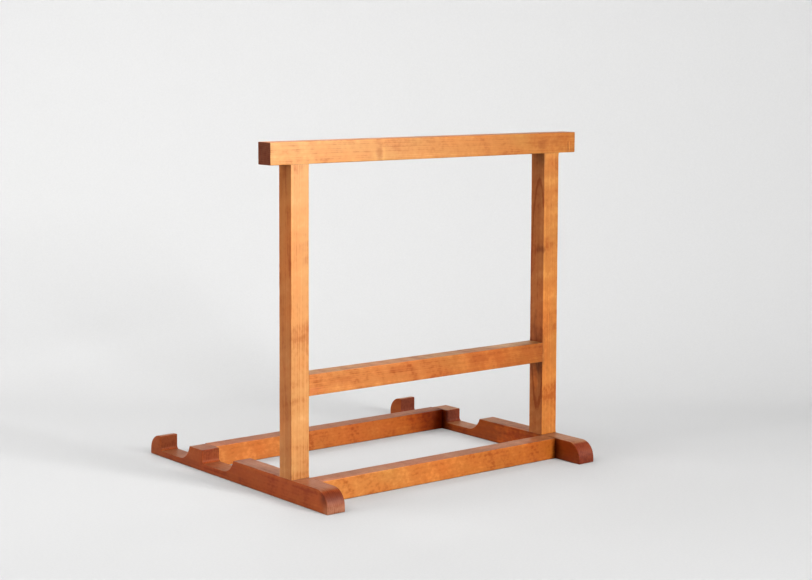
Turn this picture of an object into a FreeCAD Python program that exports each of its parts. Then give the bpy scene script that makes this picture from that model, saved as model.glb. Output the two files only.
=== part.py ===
"""A ham holder stand: a freestanding frame of eight planed timbers, joined by hidden dowels.

Two runners lie on the table, front to back, and two stretchers join them.  A post stands on
each runner, a top rail caps the posts and a mid rail ties them.  The rear half of each runner
has two notches.  The lower edge of a ham board stands in a pair of them, and the board leans
forward on the top rail.

Frame: +X to the right, +Y from the posts towards the notched ends, +Z up.  The origin is on the
table, in the middle of the base.  Every timber is drawn in a frame of its own, with its lowest
corner at zero, and its Placement carries it to its place.
"""
import FreeCAD, Part
import math
import os
import re

import Sketcher

# alias, value (millimetres, or a plain count), meaning
SIZES = [
    ("stand_width", 500, "across the outer faces of the runners"),
    ("stand_height", 498, "table to the top of the top rail"),
    ("runner_length", 464, "front end to rear end of a runner"),
    ("stock_width", 30, "width of a runner and of a post, along X"),
    ("stock_depth", 29, "depth of the posts, rails and stretchers, along Y"),
    ("base_height", 31, "height of the runners and the stretchers"),
    ("top_rail_height", 31, "height of the top rail"),
    ("mid_rail_height", 30, "height of the mid rail"),
    ("mid_rail_lift", 145, "table to the underside of the mid rail"),
    ("rail_overhang", 34, "top rail past the outer face of each post"),
    ("post_setback", 84, "front end of a runner to the front of its post"),
    ("front_stretcher_gap", 2, "back of the front stretcher to the front of the posts"),
    ("rear_stretcher_gap", 10, "wall of the near notch to the front of the rear stretcher"),
    ("near_wall", 315, "front end of a runner to the upright wall of its near notch"),
    ("far_wall", 435, "front end of a runner to the upright wall of its far notch"),
    ("near_floor", 11, "table to the floor of the near notch"),
    ("far_floor", 8.5, "table to the floor of the far notch"),
    ("notch_width", 84, "width of each notch at the top of the runner"),
    ("notch_radius", 30, "sweep from the notch floor up to the top of the runner"),
    ("wall_foot_radius", 5, "inside corner between the notch floor and its upright wall"),
    ("nose_radius", 24, "rounded upper corner at both ends of a runner"),
    ("arris_radius", 1, "easing of the long edges"),
    ("hole_diameter", 8, "drilled hole for a dowel"),
    ("hole_depth", 16, "depth of each hole, a little over half a dowel"),
    ("dowel_diameter", 7.9, "dowel, a glue film smaller than its hole"),
    ("dowel_length", 30, "dowel, end to end"),
    ("dowel_pitch", 14, "distance between the two dowels of a joint"),
    ("dowel_chamfer", 1, "lead-in at both ends of a dowel"),
    ("flute_radius", 0.5, "section of a glue groove, centred on the surface of the dowel"),
    ("flute_count", 12, "glue grooves around a dowel"),
]
ALIASES = {alias for alias, _, _ in SIZES}

SMOOTH_ANGLE = math.radians(25)     # faces that meet at less than this have no edge to ease
PROBE = 0.01                        # mm, step that tells an outside corner from an inside one
ON_PLANE = 1e-6                     # mm, an edge this near to a plane lies in it
VOLUME_TOLERANCE = 0.01             # share of the drilled volume that may be missing

# the sketcher's own numbers: its horizontal axis, the named points of a line or an arc, and the
# point where its two axes cross
H_AXIS = -1
START = 1
END = 2
CENTRE = 3
ORIGIN = (H_AXIS, START)

# the plane that a sketch lies on, and the axis that this plane faces
ACROSS_X = "YZ_Plane"
ACROSS_Z = "XY_Plane"


def make_sheet(doc):
    """Put the driving dimensions in a spreadsheet, one alias to a row."""
    sheet = doc.addObject("Spreadsheet::Sheet", "sizes")
    for row, (alias, value, meaning) in enumerate(SIZES, start=1):
        sheet.set(f"A{row}", alias)
        sheet.set(f"B{row}", str(value))
        sheet.setAlias(f"B{row}", alias)
        sheet.set(f"C{row}", meaning)
    doc.recompute()


def sized(formula):
    """Point each size that a formula names at its cell in the spreadsheet."""
    return re.sub(r"[a-z_]+", lambda word: f"sizes.{word[0]}" if word[0] in ALIASES else word[0], formula)


def size(doc, alias):
    """The value of one cell of the spreadsheet."""
    return float(doc.getObject("sizes").get(alias))


# ---------------------------------------------------------------- sketches
#
# The points and radii that a sketch starts from only lay it out.  Its dimensions, which are bound
# to the spreadsheet, then set the sizes.

def new_sketch(body, name, plane_role, lift="0"):
    """A sketch on one of the body's origin planes, lifted along the axis that the plane faces."""
    plane = next(item for item in body.Origin.OriginFeatures if item.Role == plane_role)
    sketch = body.newObject("Sketcher::SketchObject", name)
    sketch.AttachmentSupport = [(plane, "")]
    sketch.MapMode = "FlatFace"
    sketch.setExpression("AttachmentOffset.Base.z", sized(lift))
    return sketch


def drive(sketch, name, formula, kind, *where):
    """Add a dimension to a sketch and bind it to the spreadsheet."""
    value = float(sketch.evalExpression(sized(formula)))
    index = sketch.addConstraint(Sketcher.Constraint(kind, *where, value))
    sketch.renameConstraint(index, name)
    sketch.setExpression(f"Constraints.{name}", sized(formula))


def relate(sketch, kind, *where):
    """Add a relation, such as tangency, to a sketch."""
    sketch.addConstraint(Sketcher.Constraint(kind, *where))


def line(sketch, start, end):
    """Add a straight line between two points and return its number."""
    return sketch.addGeometry(Part.LineSegment(FreeCAD.Vector(*start), FreeCAD.Vector(*end)))


def quarter_arc(sketch, centre, radius, quadrant):
    """Add a quarter circle, counter-clockwise; quadrant 0 is the upper right one."""
    circle = Part.Circle(FreeCAD.Vector(*centre), FreeCAD.Vector(0, 0, 1), radius)
    first = quadrant * math.pi / 2
    return sketch.addGeometry(Part.ArcOfCircle(circle, first, first + math.pi / 2))


def rectangle(sketch, width, height):
    """A rectangle with its lowest corner on the sketch's origin; both sizes are formulas."""
    corners = [(0, 0), (10, 0), (10, 10), (0, 10)]
    sides = [line(sketch, corners[i], corners[(i + 1) % 4]) for i in range(4)]
    for i, side in enumerate(sides):
        relate(sketch, "Coincident", side, END, sides[(i + 1) % 4], START)
        relate(sketch, "Horizontal" if i % 2 == 0 else "Vertical", side)
    relate(sketch, "Coincident", sides[0], START, *ORIGIN)
    drive(sketch, "width", width, "DistanceX", sides[0], START, sides[0], END)
    drive(sketch, "height", height, "DistanceY", sides[1], START, sides[1], END)


def blank_outline(sketch):
    """Side view of a runner before it is notched: a bar with both upper corners rounded."""
    bottom = line(sketch, (0, 0), (100, 0))
    rear = line(sketch, (100, 0), (100, 10))
    rear_nose = quarter_arc(sketch, (90, 10), 10, 0)
    top = line(sketch, (90, 20), (10, 20))
    front_nose = quarter_arc(sketch, (10, 10), 10, 1)
    front = line(sketch, (0, 10), (0, 0))
    relate(sketch, "Coincident", bottom, START, *ORIGIN)
    relate(sketch, "Coincident", bottom, END, rear, START)
    relate(sketch, "Tangent", rear, END, rear_nose, START)
    relate(sketch, "Tangent", rear_nose, END, top, START)
    relate(sketch, "Tangent", top, END, front_nose, START)
    relate(sketch, "Tangent", front_nose, END, front, START)
    relate(sketch, "Coincident", front, END, bottom, START)
    relate(sketch, "Horizontal", bottom)
    relate(sketch, "Horizontal", top)
    relate(sketch, "Vertical", rear)
    relate(sketch, "Vertical", front)
    relate(sketch, "Equal", rear_nose, front_nose)
    drive(sketch, "nose", "nose_radius", "Radius", rear_nose)
    drive(sketch, "length", "runner_length", "DistanceX", bottom, START, bottom, END)
    drive(sketch, "height", "base_height", "DistanceY", bottom, START, top, START)


def notch_outline(sketch, wall, floor):
    """Side view of the material that a notch removes, drawn to where its sweep stands upright.

    The floor ends at an upright wall on the rear side.  On the front side it sweeps up, and the
    sweep leaves the top of the runner one notch width in front of the wall.
    """
    below_centre = f"({floor} + notch_radius - base_height)"
    sweep_side = f"{wall} - notch_width - notch_radius + sqrt(notch_radius ^ 2 - {below_centre} ^ 2)"
    ground = line(sketch, (40, 10), (90, 10))
    foot = quarter_arc(sketch, (90, 15), 5, 3)
    upright = line(sketch, (95, 15), (95, 40))
    lid = line(sketch, (95, 40), (10, 40))
    sweep = quarter_arc(sketch, (40, 40), 30, 2)
    relate(sketch, "Tangent", ground, END, foot, START)
    relate(sketch, "Tangent", foot, END, upright, START)
    relate(sketch, "Coincident", upright, END, lid, START)
    relate(sketch, "Coincident", lid, END, sweep, START)
    relate(sketch, "Tangent", sweep, END, ground, START)
    relate(sketch, "Horizontal", ground)
    relate(sketch, "Vertical", upright)
    relate(sketch, "Horizontal", lid)
    relate(sketch, "Horizontal", sweep, START, sweep, CENTRE)
    drive(sketch, "foot", "wall_foot_radius", "Radius", foot)
    drive(sketch, "sweep", "notch_radius", "Radius", sweep)
    drive(sketch, "wall", wall, "DistanceX", *ORIGIN, upright, START)
    drive(sketch, "floor", floor, "DistanceY", *ORIGIN, ground, START)
    drive(sketch, "sweep_side", sweep_side, "DistanceX", *ORIGIN, sweep, START)


# ---------------------------------------------------------------- features

def pad(body, sketch, length):
    """Raise a sketch along the axis that its plane faces."""
    feature = body.newObject("PartDesign::Pad", sketch.Name + "_pad")
    feature.Profile = sketch
    feature.setExpression("Length", sized(length))
    sketch.Visibility = False
    body.Document.recompute()
    return feature


def cut_through(body, sketch):
    """Cut a sketch right through the solid, along the axis that its plane faces."""
    before = body.Shape.Volume
    feature = body.newObject("PartDesign::Pocket", sketch.Name + "_cut")
    feature.Profile = sketch
    feature.Type = "ThroughAll"
    feature.Reversed = True
    sketch.Visibility = False
    body.Document.recompute()
    if body.Shape.Volume >= before:
        raise RuntimeError(f"{feature.Name} cut nothing")
    return feature


def drill(body, name, plane_role, lift, forwards, centres):
    """Drill a blind dowel hole at each centre.

    The drill goes in at the lifted plane, forwards along the axis that the plane faces or back
    against it.
    """
    doc = body.Document
    before = body.Shape.Volume
    sketch = new_sketch(body, name, plane_role, lift)
    for number, (across, up) in enumerate(centres):
        circle = Part.Circle(FreeCAD.Vector(10, 10 + 10 * number, 0), FreeCAD.Vector(0, 0, 1), 4)
        hole = sketch.addGeometry(circle)
        drive(sketch, f"bore{number}", "hole_diameter", "Diameter", hole)
        drive(sketch, f"across{number}", across, "DistanceX", *ORIGIN, hole, CENTRE)
        drive(sketch, f"up{number}", up, "DistanceY", *ORIGIN, hole, CENTRE)
    pocket = body.newObject("PartDesign::Pocket", name + "_cut")
    pocket.Profile = sketch
    pocket.Reversed = forwards
    pocket.setExpression("Length", sized("hole_depth"))
    sketch.Visibility = False
    doc.recompute()
    bore_area = math.pi * size(doc, "hole_diameter") ** 2 / 4
    expected = len(centres) * bore_area * size(doc, "hole_depth")
    if abs(before - body.Shape.Volume - expected) > VOLUME_TOLERANCE * expected:
        raise RuntimeError(f"{name} drilled {before - body.Shape.Volume} mm3, not {expected}")


def outward_normal(face, point):
    """The outward normal of a face at a point on it."""
    u, v = face.Surface.parameter(point)
    return face.normalAt(u, v)


def is_outside_corner(shape, edge):
    """True if the two faces of an edge stand out like the corner of a block."""
    faces = shape.ancestorsOfType(edge, Part.Face)
    if len(faces) != 2:
        return False
    middle = edge.valueAt((edge.FirstParameter + edge.LastParameter) / 2)
    first, second = (outward_normal(face, middle) for face in faces)
    if first.getAngle(second) < SMOOTH_ANGLE:
        return False
    return not shape.isInside(middle + (first - second) * PROBE, ON_PLANE, True)


def lies_in(edge, axis, level):
    """True if a straight edge lies in the plane where the axis has this value."""
    return all(abs(vertex.Point[axis] - level) < ON_PLANE for vertex in edge.Vertexes)


def ease_arrises(body, name, shoulder_axis=None):
    """Round the outside edges of a timber.

    With a shoulder axis, the timber's two ends on that axis butt against other timbers, and the
    edges around them stay crisp.
    """
    shape = body.Shape
    box = shape.BoundBox
    low = (box.XMin, box.YMin, box.ZMin)
    high = (box.XMax, box.YMax, box.ZMax)
    chosen = []
    for number, edge in enumerate(shape.Edges, start=1):
        if shoulder_axis is not None:
            ends = (low[shoulder_axis], high[shoulder_axis])
            if any(lies_in(edge, shoulder_axis, level) for level in ends):
                continue
        if is_outside_corner(shape, edge):
            chosen.append(f"Edge{number}")
    rough = body.Tip
    fillet = body.newObject("PartDesign::Fillet", name)
    fillet.Base = (rough, chosen)
    fillet.setExpression("Radius", sized("arris_radius"))
    body.Document.recompute()
    if body.Shape.Volume >= shape.Volume:
        raise RuntimeError(f"{name} rounded nothing")


# ---------------------------------------------------------------- timbers

def new_body(doc, label):
    """An empty body whose label is the name of its node."""
    body = doc.addObject("PartDesign::Body", label)
    body.Label = label
    return body


def place(item, x, y, z):
    """Carry a piece to its place in the stand's frame; the three distances are formulas."""
    item.setExpression("Placement.Base.x", sized(x))
    item.setExpression("Placement.Base.y", sized(y))
    item.setExpression("Placement.Base.z", sized(z))
    item.Document.recompute()


def pair_along(first, second, pitched):
    """Two hole centres, a dowel pitch apart on the chosen one of the sketch's two directions."""
    centres = []
    for sign in "-+":
        centre = [first, second]
        centre[pitched] = f"{centre[pitched]} {sign} dowel_pitch / 2"
        centres.append(tuple(centre))
    return centres


# distances from the front end of a runner to the middle of what it carries
POST_MIDDLE = "post_setback + stock_depth / 2"
FRONT_STRETCHER_MIDDLE = "post_setback - front_stretcher_gap - stock_depth / 2"
REAR_STRETCHER_MIDDLE = "near_wall + rear_stretcher_gap + stock_depth / 2"

LEFT_X = "-stand_width / 2"
RIGHT_X = "stand_width / 2 - stock_width"
FRONT_Y = "-runner_length / 2"
POST_HEIGHT = "stand_height - top_rail_height - base_height"
RAIL_LENGTH = "stand_width - 2 * stock_width"


def make_runner(doc, label, on_left):
    """A base runner: rounded ends, two notches, and dowel holes for its post and stretchers."""
    body = new_body(doc, label)
    blank = new_sketch(body, label + "_blank", ACROSS_X)
    blank_outline(blank)
    pad(body, blank, "stock_width")
    for notch in ("near", "far"):
        outline = new_sketch(body, f"{label}_{notch}_notch", ACROSS_X)
        notch_outline(outline, notch + "_wall", notch + "_floor")
        cut_through(body, outline)
    ease_arrises(body, label + "_arrises")
    drill(body, label + "_post_holes", ACROSS_Z, "base_height", False,
          pair_along("stock_width / 2", POST_MIDDLE, 1))
    inner_face = "stock_width" if on_left else "0"
    for end, middle in (("front", FRONT_STRETCHER_MIDDLE), ("rear", REAR_STRETCHER_MIDDLE)):
        drill(body, f"{label}_{end}_holes", ACROSS_X, inner_face, not on_left,
              pair_along(middle, "base_height / 2", 1))
    place(body, LEFT_X if on_left else RIGHT_X, FRONT_Y, "0")
    return body


def make_post(doc, label, on_left):
    """An upright post, doweled to its runner, to the top rail and to one end of the mid rail."""
    body = new_body(doc, label)
    section = new_sketch(body, label + "_section", ACROSS_Z)
    rectangle(section, "stock_width", "stock_depth")
    pad(body, section, POST_HEIGHT)
    ease_arrises(body, label + "_arrises", shoulder_axis=2)
    drill(body, label + "_foot_holes", ACROSS_Z, "0", True,
          pair_along("stock_width / 2", "stock_depth / 2", 1))
    drill(body, label + "_head_holes", ACROSS_Z, POST_HEIGHT, False,
          pair_along("stock_width / 2", "stock_depth / 2", 0))
    drill(body, label + "_rail_holes", ACROSS_X, "stock_width" if on_left else "0", not on_left,
          pair_along("stock_depth / 2", "mid_rail_lift - base_height + mid_rail_height / 2", 1))
    place(body, LEFT_X if on_left else RIGHT_X, FRONT_Y + " + post_setback", "base_height")
    return body


def make_cross_bar(doc, label, height, front_y, lift):
    """A bar between the two sides of the stand, with two dowel holes in each end."""
    body = new_body(doc, label)
    section = new_sketch(body, label + "_section", ACROSS_X)
    rectangle(section, "stock_depth", height)
    pad(body, section, RAIL_LENGTH)
    ease_arrises(body, label + "_arrises", shoulder_axis=0)
    centres = pair_along("stock_depth / 2", f"{height} / 2", 1)
    drill(body, label + "_left_holes", ACROSS_X, "0", True, centres)
    drill(body, label + "_right_holes", ACROSS_X, RAIL_LENGTH, False, centres)
    place(body, f"{LEFT_X} + stock_width", front_y, lift)
    return body


def make_top_rail(doc, label):
    """The rail on top of both posts, eased all round, with dowel holes in its underside."""
    body = new_body(doc, label)
    section = new_sketch(body, label + "_section", ACROSS_X)
    rectangle(section, "stock_depth", "top_rail_height")
    pad(body, section, "stand_width + 2 * rail_overhang")
    ease_arrises(body, label + "_arrises")
    left_post = "rail_overhang + stock_width / 2"
    right_post = "rail_overhang + stand_width - stock_width / 2"
    for side, middle in (("left", left_post), ("right", right_post)):
        drill(body, f"{label}_{side}_holes", ACROSS_Z, "0", True,
              pair_along(middle, "stock_depth / 2", 0))
    place(body, f"{LEFT_X} - rail_overhang", FRONT_Y + " + post_setback",
          "stand_height - top_rail_height")
    return body


# ---------------------------------------------------------------- dowels

def make_dowel(doc, name):
    """One fluted dowel, standing on the XY plane of its own frame."""
    body = new_body(doc, name)
    section = new_sketch(body, name + "_section", ACROSS_Z)
    outline = section.addGeometry(Part.Circle(FreeCAD.Vector(0, 0, 0), FreeCAD.Vector(0, 0, 1), 4))
    relate(section, "Coincident", outline, CENTRE, *ORIGIN)
    drive(section, "diameter", "dowel_diameter", "Diameter", outline)
    rod = pad(body, section, "dowel_length")

    rims = [f"Edge{number}" for number, edge in enumerate(rod.Shape.Edges, start=1) if edge.isClosed()]
    chamfer = body.newObject("PartDesign::Chamfer", name + "_lead_in")
    chamfer.Base = (rod, rims)
    chamfer.setExpression("Size", sized("dowel_chamfer"))
    doc.recompute()

    groove = new_sketch(body, name + "_flute", ACROSS_Z)
    bead = groove.addGeometry(Part.Circle(FreeCAD.Vector(4, 0, 0), FreeCAD.Vector(0, 0, 1), 1))
    relate(groove, "PointOnObject", bead, CENTRE, H_AXIS)
    drive(groove, "bead", "flute_radius", "Radius", bead)
    drive(groove, "reach", "dowel_diameter / 2", "DistanceX", *ORIGIN, bead, CENTRE)
    first_flute = cut_through(body, groove)

    before = body.Shape.Volume
    flutes = body.newObject("PartDesign::PolarPattern", name + "_flutes")
    flutes.Originals = [first_flute]
    axis = next(item for item in body.Origin.OriginFeatures if item.Role == "Z_Axis")
    flutes.Axis = (axis, [""])
    flutes.Angle = 360
    flutes.setExpression("Occurrences", sized("flute_count"))
    body.Tip = flutes
    doc.recompute()
    if body.Shape.Volume >= before:
        raise RuntimeError(f"{name} has only one flute")
    return body


def make_dowel_pair(doc, label, along_x, pitched, centre):
    """The two dowels of a joint, half in each timber.

    The dowels lie along X, or else stand along Z.  They are a pitch apart on the axis that
    pitched names.  The pair's own frame is at the middle of the joint, and centre holds the three
    formulas for that point.
    """
    turn = FreeCAD.Rotation(FreeCAD.Vector(0, 1, 0), 90 if along_x else 0)
    dowels = []
    for number, sign in enumerate("-+", start=1):
        dowel = make_dowel(doc, f"{label}_{number}")
        dowel.Placement = FreeCAD.Placement(FreeCAD.Vector(), turn)
        base = {"x": "0", "y": "0", "z": "0"}
        base["x" if along_x else "z"] = "-dowel_length / 2"
        base[pitched] = f"{sign}dowel_pitch / 2"
        place(dowel, base["x"], base["y"], base["z"])
        dowels.append(dowel)
    pair = doc.addObject("Part::Compound", label)
    pair.Label = label
    pair.Links = dowels
    doc.recompute()
    place(pair, *centre)
    return pair


def make_dowel_pairs(doc):
    """A pair of dowels for each of the ten joints."""
    pairs = []
    head_z = "stand_height - top_rail_height"
    post_y = f"{FRONT_Y} + {POST_MIDDLE}"
    cross_joints = (
        ("mid_rail", post_y, "mid_rail_lift + mid_rail_height / 2"),
        ("front_stretcher", f"{FRONT_Y} + {FRONT_STRETCHER_MIDDLE}", "base_height / 2"),
        ("rear_stretcher", f"{FRONT_Y} + {REAR_STRETCHER_MIDDLE}", "base_height / 2"),
    )
    for side, sign in (("left", "-"), ("right", "")):
        middle_x = f"{sign}(stand_width - stock_width) / 2"
        inner_x = f"{sign}(stand_width - 2 * stock_width) / 2"
        pairs.append(make_dowel_pair(doc, f"{side}_post_foot_dowels", False, "y",
                                     (middle_x, post_y, "base_height")))
        pairs.append(make_dowel_pair(doc, f"{side}_post_head_dowels", False, "x",
                                     (middle_x, post_y, head_z)))
        for timber, joint_y, joint_z in cross_joints:
            pairs.append(make_dowel_pair(doc, f"{timber}_{side}_dowels", True, "z",
                                         (inner_x, joint_y, joint_z)))
    return pairs


# ---------------------------------------------------------------- the stand

def make_stand(doc):
    """Build every piece of the stand and return (piece, number of solids in it)."""
    front_stretcher_y = FRONT_Y + " + post_setback - front_stretcher_gap - stock_depth"
    rear_stretcher_y = FRONT_Y + " + near_wall + rear_stretcher_gap"
    timbers = [
        make_runner(doc, "left_runner", on_left=True),
        make_runner(doc, "right_runner", on_left=False),
        make_cross_bar(doc, "front_stretcher", "base_height", front_stretcher_y, "0"),
        make_cross_bar(doc, "rear_stretcher", "base_height", rear_stretcher_y, "0"),
        make_post(doc, "left_post", on_left=True),
        make_post(doc, "right_post", on_left=False),
        make_cross_bar(doc, "mid_rail", "mid_rail_height", FRONT_Y + " + post_setback",
                       "mid_rail_lift"),
        make_top_rail(doc, "top_rail"),
    ]
    return [(timber, 1) for timber in timbers] + [(pair, 2) for pair in make_dowel_pairs(doc)]


def check_document(doc, pieces):
    """Stop if any object of the document failed or any piece isn't a sound solid."""
    for item in doc.Objects:
        if "Invalid" in item.State or "Error" in item.State:
            raise RuntimeError(f"{item.Name} failed: {item.State}")
    for piece, solid_count in pieces:
        shape = piece.Shape
        if shape.isNull() or not shape.isValid():
            raise RuntimeError(f"{piece.Label} has no sound shape")
        if len(shape.Solids) != solid_count:
            raise RuntimeError(f"{piece.Label} has {len(shape.Solids)} solids, not {solid_count}")


def write_parts(pieces):
    """Write each piece to its own STEP file, named after its label."""
    os.makedirs("parts", exist_ok=True)
    for piece, _ in pieces:
        piece.Shape.exportStep(f"parts/{piece.Label}.step")


document = FreeCAD.newDocument("ham_holder_stand")
make_sheet(document)
stand = make_stand(document)
document.recompute()
check_document(document, stand)
write_parts(stand)
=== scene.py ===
"""Ham holder stand: eight cherry timbers and their beech dowels on a pale studio sweep.

Every timber is a finely divided mesh laid on its CAD node, with eased and slightly worn edges, and wears
solid cherry whose growth rings, fibres, pores and figure run through it in three dimensions.
"""
import math

import bpy
from mathutils import Matrix, Vector, noise
from mathutils.geometry import delaunay_2d_cdt


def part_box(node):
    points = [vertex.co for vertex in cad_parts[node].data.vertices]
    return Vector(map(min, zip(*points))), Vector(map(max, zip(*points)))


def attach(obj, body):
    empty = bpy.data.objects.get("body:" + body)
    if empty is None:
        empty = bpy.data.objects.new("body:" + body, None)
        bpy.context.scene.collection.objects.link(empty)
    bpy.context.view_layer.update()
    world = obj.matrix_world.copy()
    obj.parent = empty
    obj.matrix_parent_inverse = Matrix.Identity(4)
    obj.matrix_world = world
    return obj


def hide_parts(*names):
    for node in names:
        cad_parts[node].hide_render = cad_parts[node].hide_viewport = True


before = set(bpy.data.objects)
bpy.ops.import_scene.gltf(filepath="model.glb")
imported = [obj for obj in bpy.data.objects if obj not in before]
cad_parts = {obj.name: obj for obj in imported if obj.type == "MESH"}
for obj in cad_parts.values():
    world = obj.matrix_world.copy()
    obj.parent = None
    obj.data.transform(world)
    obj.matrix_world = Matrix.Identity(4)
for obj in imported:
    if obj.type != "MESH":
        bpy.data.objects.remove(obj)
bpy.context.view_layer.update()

X, Y, Z = 0, 1, 2
MM = 0.001

# ---------------------------------------------------------------- the timbers' meshes

ARRIS = 1.0 * MM           # radius of a free edge, as the CAD eases it
SEAM = 0.22 * MM           # radius of an edge that a neighbour sits flush against
SEAM_REACH = 7.0 * MM      # how far from the neighbour the full radius is back
WEAR = 0.35                # share by which wear varies a free edge's radius
WEAR_LENGTH = 22 * MM      # distance over which that wear changes
RIPPLE = 0.05 * MM         # depth of the planing left in a face
RIPPLE_LENGTH = 45 * MM    # distance from one shallow to the next
CELL = 4.5 * MM            # largest step of a mesh between its edges
EDGE_LINES = [0, 0.12 * MM, 0.3 * MM, 0.58 * MM, 1.0 * MM, 1.5 * MM]
ARC_STEPS = 4              # steps round a runner's eased side edge
TINY = 1e-6
DECIMALS = 6               # decimals of a metre to which CAD corners are compared

RUNNERS = ["left_runner", "right_runner"]
BARS = ["front_stretcher", "rear_stretcher", "left_post", "right_post", "mid_rail", "top_rail"]
BOXES = {name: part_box(name) for name in RUNNERS + BARS}


def smooth(share):
    """Eases a share from 0 to 1 without a kink at either end."""
    share = min(max(share, 0.0), 1.0)
    return share * share * (3 - 2 * share)


def distance_to_box(point, box):
    low, high = box
    return Vector([max(low[i] - point[i], 0, point[i] - high[i]) for i in range(3)]).length


def edge_radius(name, point):
    """How far an edge of this timber is eased at a point: fine in a joint, full and slightly worn outside."""
    nearest = min(distance_to_box(point, BOXES[other]) for other in BOXES if other != name)
    worn = ARRIS * (1 + WEAR * noise.noise(point / WEAR_LENGTH))
    return SEAM + (worn - SEAM) * smooth(nearest / SEAM_REACH)


def ripple(point):
    """Depth of the planing ripple at a point, always into the wood."""
    return RIPPLE * (0.5 + 0.5 * noise.noise(point / RIPPLE_LENGTH))


def divisions(low, high):
    """Lattice lines along one axis: close together at both edges, even in between."""
    start = low + EDGE_LINES[-1]
    end = high - EDGE_LINES[-1]
    count = max(1, math.ceil((end - start) / CELL))
    inner = [start + (end - start) * i / count for i in range(1, count)]
    return [low + step for step in EDGE_LINES] + inner + [high - step for step in reversed(EDGE_LINES)]


def eased_bar(name):
    """Vertices and faces of a rectangular timber whose edges are eased as edge_radius says."""
    low, high = BOXES[name]
    lines = [divisions(low[axis], high[axis]) for axis in range(3)]
    vertices, faces, numbers = [], [], {}

    def vertex(steps):
        if steps not in numbers:
            point = Vector([lines[axis][steps[axis]] for axis in range(3)])
            radius = edge_radius(name, point)
            core = Vector([min(max(point[i], low[i] + radius), high[i] - radius) for i in range(3)])
            outward = (point - core).normalized()
            numbers[steps] = len(vertices)
            vertices.append(core + outward * (radius - ripple(point)))
        return numbers[steps]

    for axis in range(3):
        across, along = (axis + 1) % 3, (axis + 2) % 3
        for side in (0, len(lines[axis]) - 1):
            for i in range(len(lines[across]) - 1):
                for j in range(len(lines[along]) - 1):
                    ring = []
                    for di, dj in ((0, 0), (1, 0), (1, 1), (0, 1)):
                        steps = [0, 0, 0]
                        steps[axis], steps[across], steps[along] = side, i + di, j + dj
                        ring.append(vertex(tuple(steps)))
                    faces.append(ring if side else ring[::-1])
    return vertices, faces


def side_outline(name):
    """The (y, z) loop of a runner's side, anticlockwise, read off its CAD mesh inside the eased edge."""
    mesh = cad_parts[name].data
    plane = BOXES[name][0].x + ARRIS
    corners = {v.index: (round(v.co.y, DECIMALS), round(v.co.z, DECIMALS)) for v in mesh.vertices
               if abs(v.co.x - plane) < TINY}
    links = {}
    for edge in mesh.edges:
        start, end = (corners.get(index) for index in edge.vertices)
        if start and end and start != end:
            links.setdefault(start, set()).add(end)
            links.setdefault(end, set()).add(start)
    first = min(links)
    loop = [first, min(links[first], key=lambda corner: corner[1])]
    while True:
        onward = [corner for corner in links[loop[-1]] if corner != loop[-2]]
        if onward[0] == first:
            break
        loop.append(onward[0])
    outline = []
    for start, end in zip(loop, loop[1:] + loop[:1]):
        start, end = Vector(start), Vector(end)
        count = max(1, math.ceil((end - start).length / CELL))
        outline += [start.lerp(end, i / count) for i in range(count)]
    return outline


def outward_normals(outline):
    """The unit normal of an anticlockwise loop at each of its points."""
    normals = []
    for before, after in zip(outline[-1:] + outline[:-1], outline[1:] + outline[:1]):
        along = (after - before).normalized()
        normals.append(Vector((along.y, -along.x)))
    return normals


def eased_runner(name):
    """Vertices and faces of a runner: its outline swept across, with eased edges and filled sides."""
    low, high = BOXES[name]
    outline = side_outline(name)
    normals = outward_normals(outline)
    count = len(outline)
    vertices, faces = [], []

    def add_ring(side, angle=0.0, at=None):
        """One loop round the runner: at a given x, or at an angle of the eased edge on side -1 or 1."""
        edge = low.x if side < 0 else high.x
        for point, normal in zip(outline, normals):
            radius = edge_radius(name, Vector((edge, point.x, point.y)))
            core = point - normal * radius
            core = Vector((edge - side * radius if at is None else at, core.x, core.y))
            flat = normal * math.cos(angle)
            outward = Vector((side * math.sin(angle), flat.x, flat.y))
            vertices.append(core + outward * (radius - ripple(core)))

    arc = [math.pi / 2 * step / ARC_STEPS for step in range(ARC_STEPS + 1)]
    start, end = low.x + EDGE_LINES[-1], high.x - EDGE_LINES[-1]
    inner = math.ceil((end - start) / CELL)
    for angle in reversed(arc):
        add_ring(-1, angle)
    for i in range(inner + 1):
        add_ring(-1, at=start + (end - start) * i / inner)
    for angle in arc:
        add_ring(1, angle)
    rings = len(vertices) // count
    for ring in range(rings - 1):
        for i in range(count):
            j = (i + 1) % count
            here, onward = ring * count, (ring + 1) * count
            faces.append([here + i, here + j, onward + j, onward + i])
    fill_side(vertices, faces, 0, count, low.x, 1)
    fill_side(vertices, faces, (rings - 1) * count, count, high.x, -1)
    return vertices, faces


def fill_side(vertices, faces, first, count, x, inward):
    """Fills the loop of vertices that starts at first with triangles on an even grid, rippled inwards."""
    rim = [Vector((v.y, v.z)) for v in vertices[first:first + count]]
    low_y, high_y = min(p.x for p in rim), max(p.x for p in rim)
    low_z, high_z = min(p.y for p in rim), max(p.y for p in rim)
    grid = []
    for i in range(1, int((high_y - low_y) / CELL) + 1):
        for j in range(1, int((high_z - low_z) / CELL) + 1):
            point = Vector((low_y + i * CELL, low_z + j * CELL))
            if min((point - corner).length for corner in rim) > CELL / 2:
                grid.append(point)
    points, _, triangles, sources, _, _ = delaunay_2d_cdt(rim + grid, [], [list(range(count))], 1, TINY)
    numbers = []
    for point, source in zip(points, sources):
        if source and source[0] < count:
            numbers.append(first + source[0])
        else:
            numbers.append(len(vertices))
            depth = ripple(Vector((x, point.x, point.y)))
            vertices.append(Vector((x + inward * depth, point.x, point.y)))
    for triangle in triangles:
        ring = [numbers[i] for i in triangle]
        faces.append(ring[::-1] if inward > 0 else ring)


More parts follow.
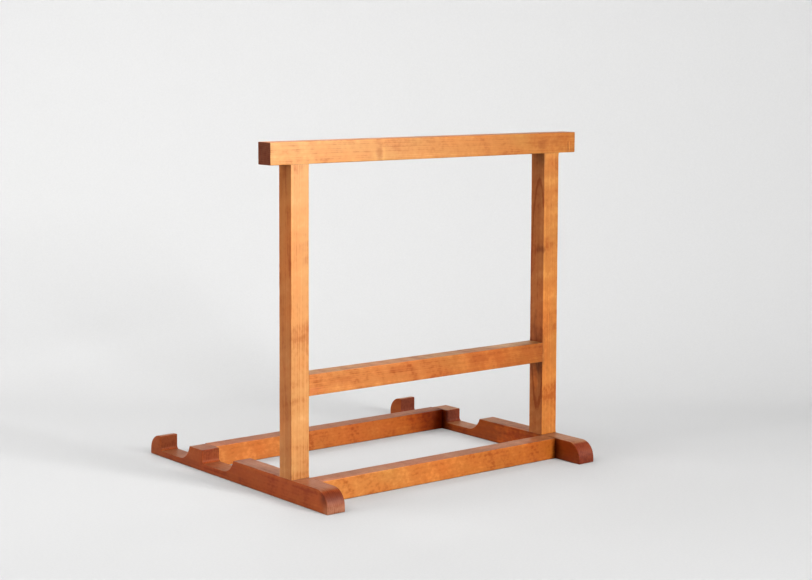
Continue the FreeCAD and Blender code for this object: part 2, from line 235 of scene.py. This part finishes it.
def make_timber(name, material):
    """Makes the finished piece that stands for one CAD timber."""
    shape = eased_runner if name in RUNNERS else eased_bar
    vertices, faces = shape(name)
    mesh = bpy.data.meshes.new(name + "_cherry")
    mesh.from_pydata(vertices, [], faces)
    mesh.validate()
    mesh.shade_smooth()
    mesh.materials.append(material)
    piece = bpy.data.objects.new(name + "_cherry", mesh)
    bpy.context.scene.collection.objects.link(piece)
    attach(piece, "root")
    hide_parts(name)


# ---------------------------------------------------------------- node trees

def linear(colour):
    """A linear RGBA from an sRGB triple of 0 to 255."""
    shares = [channel / 255 for channel in colour]
    return [c / 12.92 if c <= 0.04045 else ((c + 0.055) / 1.055) ** 2.4 for c in shares] + [1.0]


COLOUR_A, COLOUR_B, COLOUR_RESULT = 6, 7, 2     # the colour sockets of a mix node
MIDDLE = 0.5                                    # the middle of a noise of 0 to 1


class Graph:
    """The node tree of one material. Each call adds a node and returns its output."""

    def __init__(self, name):
        self.material = bpy.data.materials.new(name)
        self.material.use_nodes = True
        self.tree = self.material.node_tree
        self.tree.nodes.clear()

    def add(self, kind, inputs, **settings):
        node = self.tree.nodes.new("ShaderNode" + kind)
        for setting, value in settings.items():
            setattr(node, setting, value)
        for place, value in inputs.items():
            if isinstance(value, bpy.types.NodeSocket):
                self.tree.links.new(value, node.inputs[place])
            else:
                node.inputs[place].default_value = value
        return node

    def math(self, operation, *values):
        return self.add("Math", dict(enumerate(values)), operation=operation).outputs[0]

    def vector(self, operation, *values):
        node = self.add("VectorMath", dict(enumerate(values)), operation=operation)
        return node.outputs["Value" if operation == "LENGTH" else "Vector"]

    def combine(self, x, y, z):
        return self.add("CombineXYZ", {0: x, 1: y, 2: z}).outputs[0]

    def split(self, vector):
        return list(self.add("SeparateXYZ", {0: vector}).outputs)

    def noise(self, place, scales, detail, output="Fac"):
        """Noise whose features are 1/scale wide along each axis of place, with octaves of finer detail."""
        stretched = self.vector("MULTIPLY", place, scales)
        return self.add("TexNoise", {"Vector": stretched, "Scale": 1.0, "Detail": detail}).outputs[output]

    def swing(self, value, amount):
        """A noise of 0 to 1 as a swing about 0."""
        return self.math("MULTIPLY", self.math("SUBTRACT", value, MIDDLE), amount)

    def swing_vector(self, colour, amount):
        """A noise colour as a swing about 0 in all three directions."""
        return self.vector("MULTIPLY", self.vector("SUBTRACT", colour, (MIDDLE,) * 3), (amount,) * 3)

    def ease(self, value, low, high, start=0.0, end=1.0):
        """A share that runs smoothly from start to end while the value runs from low to high."""
        inputs = {"Value": value, "From Min": low, "From Max": high, "To Min": start, "To Max": end}
        return self.add("MapRange", inputs, interpolation_type="SMOOTHSTEP").outputs[0]

    def mix(self, share, first, second, blend="MIX"):
        inputs = {0: share, COLOUR_A: first, COLOUR_B: second}
        return self.add("Mix", inputs, data_type="RGBA", blend_type=blend).outputs[COLOUR_RESULT]

    def finish(self, shader):
        self.add("OutputMaterial", {"Surface": shader})
        return self.material


# ---------------------------------------------------------------- cherry

GRAIN = {"left_runner": Y, "right_runner": Y, "front_stretcher": X, "rear_stretcher": X,
         "mid_rail": X, "top_rail": X, "left_post": Z, "right_post": Z}

# Each board: where the tree's centre lies from the timber's middle, in mm across the grain; how it leans
# and bows along the grain, and by how many mm its rings wander; ring width in mm, a shift in rings, and
# where in a ring the late wood starts; colours of the faces across X, Y and Z, which hold painted light and
# shade, a face turned from the light being a darker brown, while the end grain is also truly darker; how
# light the wood is at the start and the end of its grain, a painted falloff of the light; how far its front
# and back turn from clear to red between them, a painted sheen that fades along the board; how strong the
# streaks, the curl, the mottle, the clouds and the ring lines are; a number that sets its noise apart; and
# its own marks, some of them figure and some painted shadow, shade and sheen: place from the timber's middle
# and reach, both in mm, tint, and raggedness.
BOARDS = {
    "left_post": dict(
        pith=(150, -18), lean=(0.010, 0.0), bow=0.0, wander=2.5, ring=3.0, shift=0.2, late=0.5,
        sides=((178, 119, 68), (223, 165, 105), (120, 66, 38)),
        painted_light_falloff=(0.98, 1.04), painted_sheen=0.0, streaks=1.7, curl=0.5, mottle=0.3, clouds=0.9, rings=0.45, seed=1,
        marks_and_painted_light=[]),
    "right_post": dict(
        pith=(95, -3.2), lean=(0.0, 0.0), bow=-3.9e-5, wander=0.5, ring=2.0, shift=0.33, late=0.80,
        sides=((173, 109, 59), (201, 136, 68), (110, 58, 32)),
        painted_light_falloff=(1.15, 0.95), painted_sheen=0.0, streaks=2.2, curl=0.9, mottle=0.5, clouds=1.2, rings=1.5, seed=2,
        marks_and_painted_light=[((-15, -10, 70), (6, 15, 8), (0.68, 0.58, 0.54), 1.0),
               # painted shade below the mid rail
               ((-15, 0, -82), (8, 30, 55), (0.66, 0.58, 0.58), 1.0),
               ((-15, 6, -68), (6, 6, 12), (1.20, 1.24, 1.28), 1.0),
               ((-15, 2, -132), (6, 9, 28), (1.25, 1.22, 1.05), 1.0),
               ((0, -15, -75), (30, 8, 60), (0.88, 0.84, 0.80), 1.0)]),
    "top_rail": dict(
        pith=(16, 140), lean=(0.0, 0.006), bow=0.0, wander=4.0, ring=2.6, shift=0.0, late=0.5,
        sides=((111, 64, 41), (212, 152, 88), (190, 128, 78)),
        painted_light_falloff=(1.20, 0.67), painted_sheen=1.0, streaks=1.5, curl=0.45, mottle=0.45, clouds=0.9, rings=0.45, seed=3,
        marks_and_painted_light=[((-98, -15, -5), (9, 8, 18), (0.80, 0.70, 0.60), 1.0),
               ((-91, -15, -2), (4, 8, 20), (1.08, 1.14, 1.20), 1.0),
               ((200, -15, 3), (22, 8, 13), (0.88, 0.78, 0.66), 1.0),
               ((215, -15, -3), (16, 8, 14), (0.82, 0.72, 0.60), 1.0),
               ((250, -15, 2), (24, 8, 18), (0.87, 0.79, 0.69), 1.0),
               ((269.6, -15, -7), (1.3, 6, 10), (0.60, 0.50, 0.40), 1.0),
               ((272, -15, -7), (1.3, 6, 10), (1.30, 1.50, 1.80), 1.0)]),
    "mid_rail": dict(
        pith=(10, 120), lean=(0.004, 0.010), bow=0.0, wander=3.0, ring=2.8, shift=0.3, late=0.4,
        sides=((110, 58, 32), (203, 131, 68), (179, 128, 83)),
        painted_light_falloff=(1.25, 0.68), painted_sheen=1.0, streaks=1.6, curl=0.9, mottle=0.5, clouds=0.8, rings=0.30, seed=4,
        marks_and_painted_light=[((-208, -15, -9), (22, 9, 9), (0.98, 0.84, 0.90), 1.0),
               ((-165, -15, 3), (34, 9, 8), (0.90, 0.78, 0.70), 1.0),
               ((-60, -15, 5), (38, 9, 8), (0.92, 0.80, 0.70), 1.0),
               ((95, -15, 4), (34, 9, 9), (0.90, 0.80, 0.70), 1.0),
               # painted sheen on the right part of the top face
               ((165, 4, 15), (85, 20, 5), (1.22, 1.32, 1.42), 1.0)]),
    "front_stretcher": dict(
        pith=(-70, 12), lean=(0.012, 0.0), bow=0.0, wander=6.0, ring=3.6, shift=0.1, late=0.4,
        sides=((100, 48, 28), (211, 137, 67), (174, 116, 80)),
        painted_light_falloff=(1.15, 0.71), painted_sheen=1.0, streaks=0.9, curl=0.6, mottle=0.8, clouds=0.5, rings=0.12, seed=5,
        # painted shadow cast by the right runner's nose into the corner at the right end, without gleam
        marks_and_painted_light=[((224, -15, 0), (15, 9, 44), (0.34, 0.20, 0.12), 0.3),
               # painted shade on the left of the top face and a painted sheen on its right
               ((-180, 4, 15), (110, 20, 5), (0.80, 0.80, 0.80), 1.0),
               ((160, 4, 15), (110, 20, 5), (1.28, 1.28, 1.30), 1.0)]),
    "rear_stretcher": dict(
        pith=(90, 16), lean=(0.010, 0.0), bow=0.0, wander=6.0, ring=3.2, shift=0.6, late=0.4,
        sides=((100, 48, 28), (203, 125, 60), (158, 100, 64)),
        painted_light_falloff=(1.28, 0.76), painted_sheen=1.0, streaks=0.9, curl=0.6, mottle=0.7, clouds=0.8, rings=0.12, seed=6,
        # painted shadow of the right post over the right end, darkest in the corner
        marks_and_painted_light=[((205, -15, 0), (66, 14, 60), (0.82, 0.56, 0.10), 0.3),
               ((217, -15, 0), (24, 14, 40), (0.40, 0.22, 0.10), 0.3),
               # painted shade on the left of the top face and a painted sheen on its right
               ((-130, 4, 15), (130, 20, 5), (0.84, 0.86, 0.90), 1.0),
               ((180, 4, 15), (75, 20, 5), (1.22, 1.20, 1.20), 1.0)]),
    "left_runner": dict(
        pith=(105, 9), lean=(0.009, 0.0), bow=0.0, wander=5.0, ring=3.0, shift=0.4, late=0.4,
        sides=((160, 82, 34), (175, 95, 45), (160, 104, 72)),
        painted_light_falloff=(1.08, 0.88), painted_sheen=0.0, streaks=1.6, curl=0.6, mottle=0.5, clouds=1.1, rings=0.50, seed=7,
        # painted sheen on the flat face of the nose; the curved nose above it is darker, partly its end
        # grain's own colour and partly painted shade
        marks_and_painted_light=[((0, -232, -14), (60, 14, 18), (0.98, 1.60, 3.9), 0.2),
               ((0, -226, 6), (60, 17, 17), (0.48, 0.38, 0.40), 0.2),
               ((-15, 140, -8), (8, 90, 12), (0.86, 0.76, 0.66), 1.0),
               ((-15, 0, 0), (8, 100, 40), (0.95, 0.88, 0.76), 1.0),
               # a painted sheen on the top in the front half and painted shade behind the middle
               ((0, -90, 15), (30, 80, 4), (1.12, 1.20, 1.25), 1.0),
               ((0, 45, 15), (30, 60, 4), (0.90, 0.78, 0.76), 1.0)]),
    "right_runner": dict(
        pith=(100, -10), lean=(-0.008, 0.0), bow=0.0, wander=5.0, ring=3.4, shift=0.8, late=0.4,
        sides=((149, 75, 24), (143, 68, 34), (166, 115, 80)),
        painted_light_falloff=(0.98, 0.98), painted_sheen=0.0, streaks=1.6, curl=0.7, mottle=0.6, clouds=1.2, rings=0.50, seed=8,
        # painted shadow on the inner face by the front stretcher, and painted shade in front of it
        marks_and_painted_light=[((-15, -172, 0), (8, 24, 50), (0.38, 0.22, 0.08), 0.3),
               ((-15, -205, 0), (8, 44, 40), (0.94, 0.72, 0.20), 1.0),
               ((-15, -100, 0), (10, 85, 40), (1.55, 1.75, 1.50), 1.0),
               # painted shadow on the inner face by the rear stretcher
               ((-15, 95, 0), (8, 30, 50), (0.30, 0.11, 0.03), 0.3),
               # a painted sheen on the top in the front half and painted shade behind the middle
               ((0, -90, 15), (30, 45, 4), (1.25, 1.25, 1.25), 1.0),
               ((0, 50, 15), (30, 30, 4), (0.85, 0.78, 0.80), 1.0)]),
}
DEEP = (0.74, 0.52, 0.32, 1.0)       # how the darkest figure differs from a board's own colour
PALE = (1.16, 1.36, 1.62, 1.0)       # and the lightest
RED = (1.03, 0.95, 0.88, 1.0)        # how the reddest heartwood differs
YELLOW = (0.97, 1.04, 1.06, 1.0)     # and the yellowest
SHEEN_START_TINT = (0.95, 1.05, 1.20, 1.0)  # painted sheen: how the front and the back of a rail differ at its clearer, gleaming end
SHEEN_END_TINT = (1.09, 0.92, 0.60, 1.0)    # and at its redder end, where the painted sheen has faded

# Parts of the figure: features per mm across the grain, twice, and along it, and octaves of finer detail.
RING_WARP = ((0.03, 0.03, 0.009), 2.0)
FIBRE = ((1.9, 1.9, 0.015), 3.0)
STREAK = ((0.28, 0.28, 0.0035), 2.5)
CURL = ((0.018, 0.018, 0.060), 1.5)
MOTTLE = ((0.19, 0.19, 0.16), 2.0)
CLOUD = ((0.02, 0.02, 0.012), 2.0)
PORE = ((3.2, 3.2, 0.22), 2.0)
TATTER = ((0.10, 0.10, 0.05), 3.0)
CURL_SLANT = 0.35          # how far the curl leans along the grain for each step across it
SEED_STEP = 137.0          # mm along the noise from one board to the next

# What each of them adds to a figure of -1 to 1, times the board's own strength where it has one.
FIBRE_SWAY = 0.45
CURL_SWAY = 2.6
MOTTLE_SWAY = 0.9
CLOUD_SWAY = 2.0
PORE_DEPTH = 0.12
END_GRAIN_LINES = 0.25     # how much stronger the ring lines are in the end grain
TATTER_SWAY = 1.7          # how far a fully ragged mark's outline wanders, as a share of its reach

# Where one thing gives way to another: the value at which it starts, and the one at which it is complete.
LATE_PEAK = 0.93           # share of a ring at which its late wood is darkest
LATE_BREAK = (0.95, 1.0)   # shares of a ring between which the late wood breaks off
LATE_LEAST = 0.4           # late wood of the faintest ring
MOTTLE_EASE = (0.30, 0.72)
PORE_EASE = (0.60, 0.74)
END_GRAIN_EASE = (0.30, 0.50)
SHADED_SIDE_EASE = (0.5, 0.85)    # from the painted shade of one long face to that of its neighbour, round their edge
RED_EASE = (0.5, 0.7)
YELLOW_EASE = (0.5, 0.3)
MARK_EASE = (1.0, 0.2)     # shares of a mark's reach, from its outline inwards

GLOSS = 0.3                # the varnish's specular level
PAINTED_SHADOW_GREEN = 0.3           # marks with less green than this are painted shadows in corners, without any gleam
BOUNCE_DULL = 0.6          # how far the light bounced off the wood loses its colour
ROUGHNESS = 0.40
FIBRE_ROUGHNESS = 0.16     # how much the roughness varies with the fibres
END_GRAIN_ROUGHNESS = 0.15 # how much rougher the end grain is
FIBRE_RELIEF = 0.5         # height of the fibres, and depth of the late wood, against pores of 1
LATE_RELIEF = 0.3
RELIEF = 0.05 * MM         # depth of the pores
BUMP = 0.35                # strength of that relief


def cherry(name):
    """Solid varnished cherry for one timber: rings about the tree's centre, fibres, figure and its own spots,
    with painted light, shade and sheen in its colour.
    """
    board = BOARDS[name]
    graph = Graph(name + "_cherry")
    along = GRAIN[name]
    first, second = [axis for axis in (X, Y, Z) if axis != along]
    low, high = BOXES[name]
    place = graph.add("TexCoord", {}).outputs["Object"]
    place = graph.vector("MULTIPLY", graph.vector("SUBTRACT", place, (low + high) / 2), (1 / MM,) * 3)
    parts = graph.split(place)
    seed = SEED_STEP * board["seed"]
    grain = graph.combine(parts[first], parts[second], graph.math("ADD", parts[along], seed))

    # growth rings
    bend = graph.split(graph.swing_vector(graph.noise(grain, *RING_WARP, "Color"), board["wander"]))
    bow = graph.math("MULTIPLY", graph.math("MULTIPLY", parts[along], parts[along]), board["bow"])
    across = []
    for i, axis in enumerate((first, second)):
        leaning = graph.math("MULTIPLY", parts[along], board["lean"][i])
        offset = graph.math("ADD", graph.math("SUBTRACT", parts[axis], board["pith"][i]), leaning)
        across.append(graph.math("ADD", offset, bend[i]))
    across[0] = graph.math("ADD", across[0], bow)
    radius = graph.vector("LENGTH", graph.combine(across[0], across[1], 0.0))
    ring = graph.math("ADD", graph.math("DIVIDE", radius, board["ring"]), board["shift"])
    share = graph.math("FRACT", ring)
    rise = graph.ease(share, board["late"], LATE_PEAK)
    late = graph.math("MULTIPLY", rise, graph.ease(share, *LATE_BREAK, 1.0, 0.0))
    number = graph.math("FLOOR", ring)
    vigour = graph.add("TexWhiteNoise", {"W": number}, noise_dimensions="1D").outputs["Value"]
    late = graph.math("MULTIPLY", late, graph.math("MULTIPLY_ADD", vigour, 1 - LATE_LEAST, LATE_LEAST))

    # fibres, broader streaks, slanting curl across the grain, mottle, clouds and pores
    fibre = graph.noise(grain, *FIBRE)
    streak = graph.noise(grain, *STREAK)
    slant = graph.combine(0.0, 0.0, graph.math("MULTIPLY", parts[second], CURL_SLANT))
    curl = graph.noise(graph.vector("ADD", grain, slant), *CURL)
    mottle = graph.ease(graph.noise(grain, *MOTTLE), *MOTTLE_EASE)
    clouds = graph.split(graph.noise(grain, *CLOUD, "Color"))
    pores = graph.ease(graph.noise(grain, *PORE), *PORE_EASE)

    # figure from -1 (deep) to 1 (pale), with bolder rings in the end grain
    normal = graph.split(graph.add("NewGeometry", {}).outputs["Normal"])
    facing = [graph.math("ABSOLUTE", part) for part in normal]
    end_grain = graph.ease(facing[along], *END_GRAIN_EASE)
    figure = graph.math("ADD", graph.swing(fibre, FIBRE_SWAY), graph.swing(streak, board["streaks"]))
    figure = graph.math("ADD", figure, graph.swing(curl, CURL_SWAY * board["curl"]))
    figure = graph.math("ADD", figure, graph.swing(mottle, MOTTLE_SWAY * board["mottle"]))
    figure = graph.math("ADD", figure, graph.swing(clouds[0], CLOUD_SWAY * board["clouds"]))
    lines = graph.math("MULTIPLY_ADD", end_grain, END_GRAIN_LINES, board["rings"])
    figure = graph.math("SUBTRACT", figure, graph.math("MULTIPLY", late, lines))
    figure = graph.math("SUBTRACT", figure, graph.math("MULTIPLY", pores, PORE_DEPTH))

    # colour by face, with painted light and shade, then with painted light falling off along the grain and a
    # painted sheen on the front and back, then by figure, then by the board's own marks, some of them painted
    # shadow, shade and sheen
    # each face direction gets its own colour, mostly painted light and shade; the end grain is also truly
    # darker
    colour = linear(board["sides"][second])
    colour = graph.mix(graph.ease(facing[first], *SHADED_SIDE_EASE), colour, linear(board["sides"][first]))
    colour = graph.mix(end_grain, colour, linear(board["sides"][along]))
    # painted light: the wood is made lighter towards one end of its grain and darker towards the other, where
    # the light falls off
    reach = (high[along] - low[along]) / 2 / MM
    start, end = board["painted_light_falloff"]
    light = graph.add("MapRange", {"Value": parts[along], "From Min": -reach, "From Max": reach,
                                   "To Min": start, "To Max": end}).outputs[0]
    colour = graph.mix(1.0, colour, graph.combine(light, light, light), "MULTIPLY")
    # painted sheen: the front and back faces turn from clear at the start of the grain to red at the end, as
    # the gleam fades
    sheen_tint = graph.mix(graph.ease(parts[along], -reach, reach), SHEEN_START_TINT, SHEEN_END_TINT)
    painted_sheen = graph.math("MULTIPLY", facing[Y], board["painted_sheen"])
    colour = graph.mix(painted_sheen, colour, graph.mix(1.0, colour, sheen_tint, "MULTIPLY"))
    deep = graph.mix(1.0, colour, DEEP, "MULTIPLY")
    pale = graph.mix(1.0, colour, PALE, "MULTIPLY")
    colour = graph.mix(graph.ease(figure, 0.0, -1.0), colour, deep)
    colour = graph.mix(graph.ease(figure, 0.0, 1.0), colour, pale)
    red = graph.mix(1.0, colour, RED, "MULTIPLY")
    colour = graph.mix(graph.ease(clouds[1], *RED_EASE), colour, red)
    yellow = graph.mix(1.0, colour, YELLOW, "MULTIPLY")
    colour = graph.mix(graph.ease(clouds[1], *YELLOW_EASE), colour, yellow)
    tatter = graph.swing_vector(graph.noise(grain, *TATTER, "Color"), TATTER_SWAY)
    gloss = GLOSS
    for centre, extent, tint, ragged in board["marks_and_painted_light"]:
        away = graph.vector("DIVIDE", graph.vector("SUBTRACT", place, centre), extent)
        away = graph.vector("ADD", away, graph.vector("MULTIPLY", tatter, (ragged,) * 3))
        within = graph.ease(graph.vector("LENGTH", away), *MARK_EASE)
        # a painted shadow takes the varnish's gleam away as well
        if tint[1] < PAINTED_SHADOW_GREEN:
            gloss = graph.math("MULTIPLY", gloss, graph.math("SUBTRACT", 1.0, within))
        colour = graph.mix(within, colour, graph.mix(1.0, colour, (*tint, 1.0), "MULTIPLY"))

    # what the board throws onto its surroundings is duller than what is seen
    bounced = graph.math("MULTIPLY", graph.add("LightPath", {}).outputs["Is Diffuse Ray"], BOUNCE_DULL)
    grey = graph.add("RGBToBW", {0: colour}).outputs[0]
    colour = graph.mix(bounced, colour, graph.combine(grey, grey, grey))

    # satin varnish that lets the fibres show
    rough = graph.math("ADD", ROUGHNESS, graph.swing(fibre, FIBRE_ROUGHNESS))
    rough = graph.math("MULTIPLY_ADD", end_grain, END_GRAIN_ROUGHNESS, rough)
    height = graph.math("SUBTRACT", graph.math("MULTIPLY", fibre, FIBRE_RELIEF), pores)
    height = graph.math("SUBTRACT", height, graph.math("MULTIPLY", late, LATE_RELIEF))
    bump = graph.add("Bump", {"Strength": BUMP, "Distance": RELIEF, "Height": height}).outputs[0]
    shader = graph.add("BsdfPrincipled", {"Base Color": colour, "Roughness": rough, "Normal": bump,
                                          "Specular IOR Level": gloss}).outputs[0]
    return graph.finish(shader)


# ---------------------------------------------------------------- beech

BEECH_FLECK = ((0.9, 2.2, 2.2), 2.0)      # features per mm along x, y and z, and octaves of finer detail
BEECH_CLOUD = ((0.08, 0.4, 0.4), 3.0)
BEECH_FLECK_EASE = (0.58, 0.70)
BEECH_CLOUD_EASE = (0.3, 0.7)
BEECH_TONES = ((206, 168, 124), (222, 188, 146))
BEECH_BROWN = (150, 100, 62)
BEECH_FLECK_SHARE = 0.5                   # how brown a fleck gets
BEECH_ROUGHNESS = 0.6
BEECH_BUMP = 0.3


def beech():
    """Pale turned beech for the dowels, with its short brown flecks."""
    graph = Graph("dowel_beech")
    place = graph.vector("MULTIPLY", graph.add("TexCoord", {}).outputs["Object"], (1 / MM,) * 3)
    flecks = graph.ease(graph.noise(place, *BEECH_FLECK), *BEECH_FLECK_EASE)
    cloud = graph.noise(place, *BEECH_CLOUD)
    dark, light = [linear(tone) for tone in BEECH_TONES]
    colour = graph.mix(graph.ease(cloud, *BEECH_CLOUD_EASE), dark, light)
    colour = graph.mix(graph.math("MULTIPLY", flecks, BEECH_FLECK_SHARE), colour, linear(BEECH_BROWN))
    bump = graph.add("Bump", {"Strength": BEECH_BUMP, "Distance": RELIEF, "Height": cloud}).outputs[0]
    return graph.finish(graph.add("BsdfPrincipled", {"Base Color": colour, "Roughness": BEECH_ROUGHNESS,
                                                     "Normal": bump}).outputs[0])


# ---------------------------------------------------------------- the studio

CONTRAST = 1.3             # power of the picture's tone curve
CAMERA_PLACE = Vector((-1.5981, -2.0911, 0.6196))
CAMERA_HEADING = math.radians(39.162)    # from +Y towards +X
CAMERA_PITCH = math.radians(-4.643)
CAMERA_ROLL = math.radians(0.275)
CAMERA_LENS = 77.18
CAMERA_SHIFT = (-0.0231, -0.1183)

SWEEP_LEVEL = 1.0          # how far in front of the object's middle the floor's last level strip starts
SWEEP_START = 0.37         # how far behind it, as the camera sees it, the paper leaves the level
SWEEP_RADIUS = 0.72        # radius of its rise
SWEEP_HEIGHT = 1.3
SWEEP_REACH = 9.0          # how far it goes to the front and to both sides
ARC_POINTS = 40
FLOOR_DROP = 0.2 * MM      # keeps the floor just clear of the runners' undersides
PAPER_TONES = ((202, 202, 202), (208, 208, 208))
PAPER_TOOTH = ((300.0, 300.0, 300.0), 3.0)   # features per metre, and octaves of finer detail
PAPER_REACH = (1.5, 3.0)   # distances over which the lit paper gives way to a plain pale surround
PAPER_RISEN = (0.995, 0.96)  # upward parts of its normal between which the paper comes to count as risen
PAPER_GRAZED = (0.25, 0.02)  # how squarely risen paper is seen as it gives way to the surround
SURROUND = 0.83            # brightness of that surround in the picture
STUDIO_DARK = 0.10         # and what it gives back to the object


def sweep():
    """A floor of pale paper that curves up behind the object. From behind, it can be looked through."""
    profile = [(-SWEEP_REACH, 0.0), (-SWEEP_LEVEL, 0.0)]
    for i in range(ARC_POINTS + 1):
        angle = math.pi / 2 * i / ARC_POINTS
        profile.append((SWEEP_START + SWEEP_RADIUS * math.sin(angle), SWEEP_RADIUS * (1 - math.cos(angle))))
    profile.append((profile[-1][0], SWEEP_HEIGHT))
    behind = Vector((math.sin(CAMERA_HEADING), math.cos(CAMERA_HEADING), 0.0))
    sideways = Vector((behind.y, -behind.x, 0.0))
    vertices, faces = [], []
    for depth, height in profile:
        for side in (-SWEEP_REACH, SWEEP_REACH):
            vertices.append(behind * depth + sideways * side + Vector((0, 0, height - FLOOR_DROP)))
    for i in range(len(profile) - 1):
        faces.append((2 * i, 2 * i + 1, 2 * i + 3, 2 * i + 2))
    mesh = bpy.data.meshes.new("sweep")
    mesh.from_pydata(vertices, [], faces)
    mesh.shade_smooth()
    mesh.materials.append(sweep_paper())
    piece = bpy.data.objects.new("sweep", mesh)
    bpy.context.scene.collection.objects.link(piece)


def sweep_paper():
    """Pale matt paper near the object, and farther off a surround that only the camera sees as pale."""
    graph = Graph("sweep_paper")
    place = graph.add("TexCoord", {}).outputs["Object"]
    dark, light = [linear(tone) for tone in PAPER_TONES]
    colour = graph.mix(graph.noise(place, *PAPER_TOOTH), dark, light)
    paper = graph.add("BsdfDiffuse", {"Color": colour}).outputs[0]
    seen = graph.add("LightPath", {}).outputs["Is Camera Ray"]
    strength = graph.math("ADD", STUDIO_DARK, graph.math("MULTIPLY", seen, SURROUND - STUDIO_DARK))
    surround = graph.add("Emission", {"Strength": strength}).outputs[0]
    far = graph.ease(graph.vector("LENGTH", place), *PAPER_REACH)
    lit = graph.add("MixShader", {0: far, 1: paper, 2: surround}).outputs[0]
    geometry = graph.add("NewGeometry", {}).outputs
    risen = graph.ease(graph.split(geometry["Normal"])[Z], *PAPER_RISEN)
    sight = {0: geometry["Normal"], 1: geometry["Incoming"]}
    toward = graph.add("VectorMath", sight, operation="DOT_PRODUCT").outputs["Value"]
    grazed = graph.math("MULTIPLY", risen, graph.ease(toward, *PAPER_GRAZED))
    lit = graph.add("MixShader", {0: grazed, 1: lit, 2: surround}).outputs[0]
    clear = graph.add("BsdfTransparent", {}).outputs[0]
    behind = geometry["Backfacing"]
    return graph.finish(graph.add("MixShader", {0: behind, 1: lit, 2: clear}).outputs[0])


def around(azimuth, elevation, distance):
    """A place round the object: azimuth 0 is in front of it (-Y) and 90 at its right (+X), in degrees."""
    turn, lift = math.radians(azimuth), math.radians(elevation)
    level = math.cos(lift)
    return Vector((math.sin(turn) * level, -math.cos(turn) * level, math.sin(lift))) * distance


OBJECT_AIM = Vector((0.0, 0.0, 0.2))
BACKDROP_AIM = Vector((0.3, 1.2, 0.6))

# The softboxes: name, place, what it aims at, width and height in metres, and watts.
SOFTBOXES = [
    ("key_softbox", around(10.6, 22, 3.8), OBJECT_AIM, 0.8, 0.8, 84.0),
    ("upper_key_softbox", around(10.6, 37, 3.8), OBJECT_AIM, 0.8, 0.8, 24.0),
    ("sheen_softbox", Vector((0.85, -2.2, 0.9)), OBJECT_AIM, 0.9, 1.2, 70.0),
    ("fill_softbox", around(-95, 12, 3.0), OBJECT_AIM, 0.8, 0.8, 31.0),
    ("upper_fill_softbox", around(-88, 50, 3.0), OBJECT_AIM, 0.8, 0.8, 10.0),
    ("left_back_softbox", around(-130, 35, 2.5), OBJECT_AIM, 1.2, 1.2, 13.0),
    ("back_softbox", around(165, 52, 2.3), OBJECT_AIM, 1.2, 1.2, 14.0),
    ("right_softbox", around(95, 35, 3.0), OBJECT_AIM, 1.0, 1.0, 13.0),
    ("overhead_softbox", around(-50, 66, 2.2), OBJECT_AIM, 1.6, 1.6, 11.0),
    ("backdrop_softbox", around(-70, 75, 2.2), BACKDROP_AIM, 1.2, 1.2, 14.0),
]
SHEEN_ONLY = ["sheen_softbox"]     # shows only as a gleam in the varnish


def softbox(name, place, aim, width, height, watts):
    """A soft rectangular light that isn't seen itself."""
    light = bpy.data.lights.new(name, "AREA")
    light.shape = "RECTANGLE"
    light.size = width
    light.size_y = height
    light.energy = watts
    lamp = bpy.data.objects.new(name, light)
    lamp.location = place
    lamp.rotation_mode = "QUATERNION"
    lamp.rotation_quaternion = (aim - place).to_track_quat("-Z", "Y")
    lamp.visible_camera = False
    lamp.visible_diffuse = name not in SHEEN_ONLY
    bpy.context.scene.collection.objects.link(lamp)


def lights():
    """The softboxes, from the front, the left, the right, above and behind, in a dim studio."""
    for box in SOFTBOXES:
        softbox(*box)
    world = bpy.data.worlds.new("studio")
    world.use_nodes = True
    tree = world.node_tree
    seen = tree.nodes.new("ShaderNodeLightPath").outputs["Is Camera Ray"]
    level = tree.nodes.new("ShaderNodeMapRange")
    tree.links.new(seen, level.inputs["Value"])
    level.inputs["To Min"].default_value = STUDIO_DARK
    level.inputs["To Max"].default_value = SURROUND
    background = tree.nodes["Background"]
    background.inputs["Color"].default_value = (1.0, 1.0, 1.0, 1.0)
    tree.links.new(level.outputs[0], background.inputs["Strength"])
    bpy.context.scene.world = world


# ---------------------------------------------------------------- the camera

def camera():
    """The camera at the viewing angle of the real picture."""
    data = bpy.data.cameras.new("camera")
    data.lens = CAMERA_LENS
    data.shift_x, data.shift_y = CAMERA_SHIFT
    forward = Vector((math.sin(CAMERA_HEADING) * math.cos(CAMERA_PITCH),
                      math.cos(CAMERA_HEADING) * math.cos(CAMERA_PITCH), math.sin(CAMERA_PITCH)))
    level = Vector((math.cos(CAMERA_HEADING), -math.sin(CAMERA_HEADING), 0.0))
    upright = level.cross(forward)
    right = level * math.cos(CAMERA_ROLL) + upright * math.sin(CAMERA_ROLL)
    up = upright * math.cos(CAMERA_ROLL) - level * math.sin(CAMERA_ROLL)
    turn = Matrix((right, up, -forward)).transposed().to_4x4()
    eye = bpy.data.objects.new("camera", data)
    eye.matrix_world = Matrix.Translation(CAMERA_PLACE) @ turn
    bpy.context.scene.collection.objects.link(eye)
    bpy.context.scene.camera = eye


# ---------------------------------------------------------------- all together

for timber in RUNNERS + BARS:
    make_timber(timber, cherry(timber))
dowel_material = beech()
for node_name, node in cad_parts.items():
    if node_name.endswith("_dowels"):
        node.data.materials[0] = dowel_material
sweep()
lights()
camera()
bpy.context.scene.view_settings.view_transform = "Standard"
bpy.context.scene.view_settings.gamma = 1 / CONTRAST
